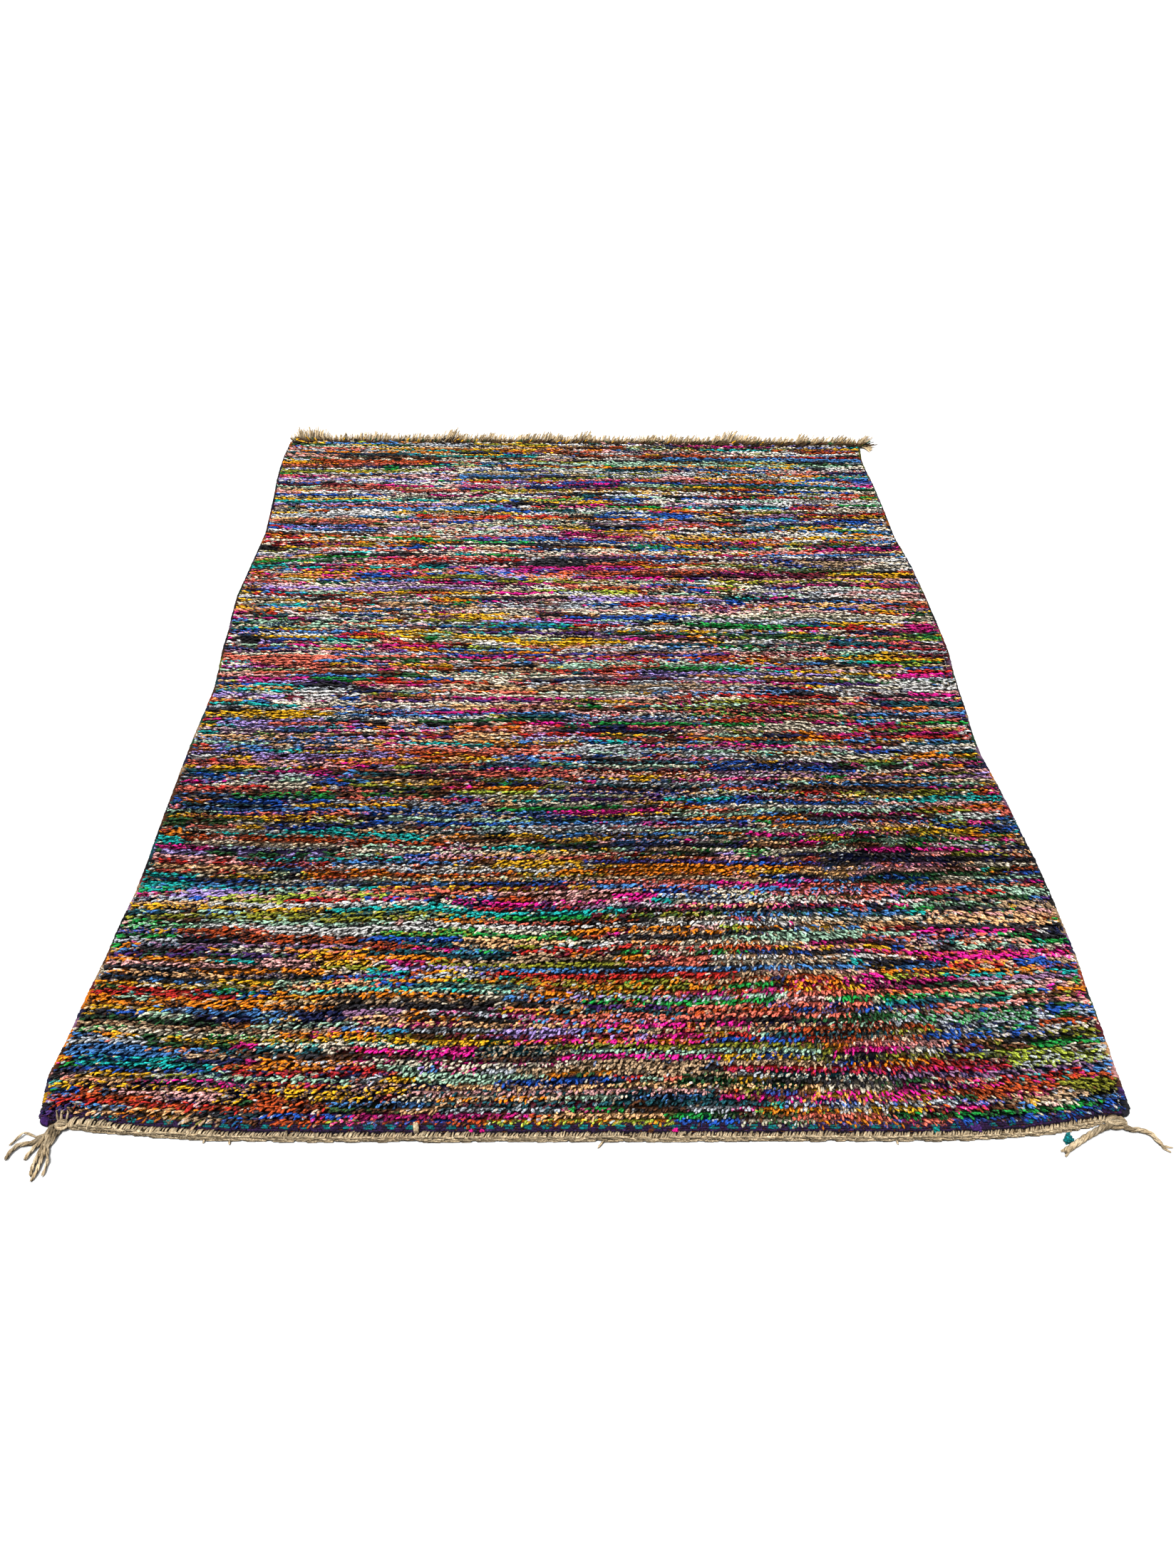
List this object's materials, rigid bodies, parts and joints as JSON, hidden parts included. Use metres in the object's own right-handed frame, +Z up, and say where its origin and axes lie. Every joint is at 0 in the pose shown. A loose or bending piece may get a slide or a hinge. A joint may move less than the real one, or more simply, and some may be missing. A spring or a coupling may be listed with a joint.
{
  "type": "azilal rug",
  "caption": "Large hand-knotted scrap-wool pile rug lying flat, with overcast sides, an ecru roll at the front, a cut fringe at the back and knotted corner tassels.",
  "frame": {"origin": "middle of the flat underside, on the floor", "axes": "+X across the width, +Y along the length from the front roll to the back fringe, +Z up through the pile"},
  "size_m": [2.0796, 3.2176, 0.0191],
  "materials": {
    "pile": "dense tufts of knotted scrap wool in many colours",
    "selvedge": "overcast wool in short runs of colour",
    "ecru_yarn": "undyed twisted yarn, matt"
  },
  "bodies": {
    "root": {"rug_body": "pile", "selvedge_left": "selvedge", "selvedge_right": "selvedge", "front_roll": "ecru_yarn", "back_fringe": "ecru_yarn", "tassel_left": "ecru_yarn", "tassel_right": "ecru_yarn"}
  },
  "joints": []
}
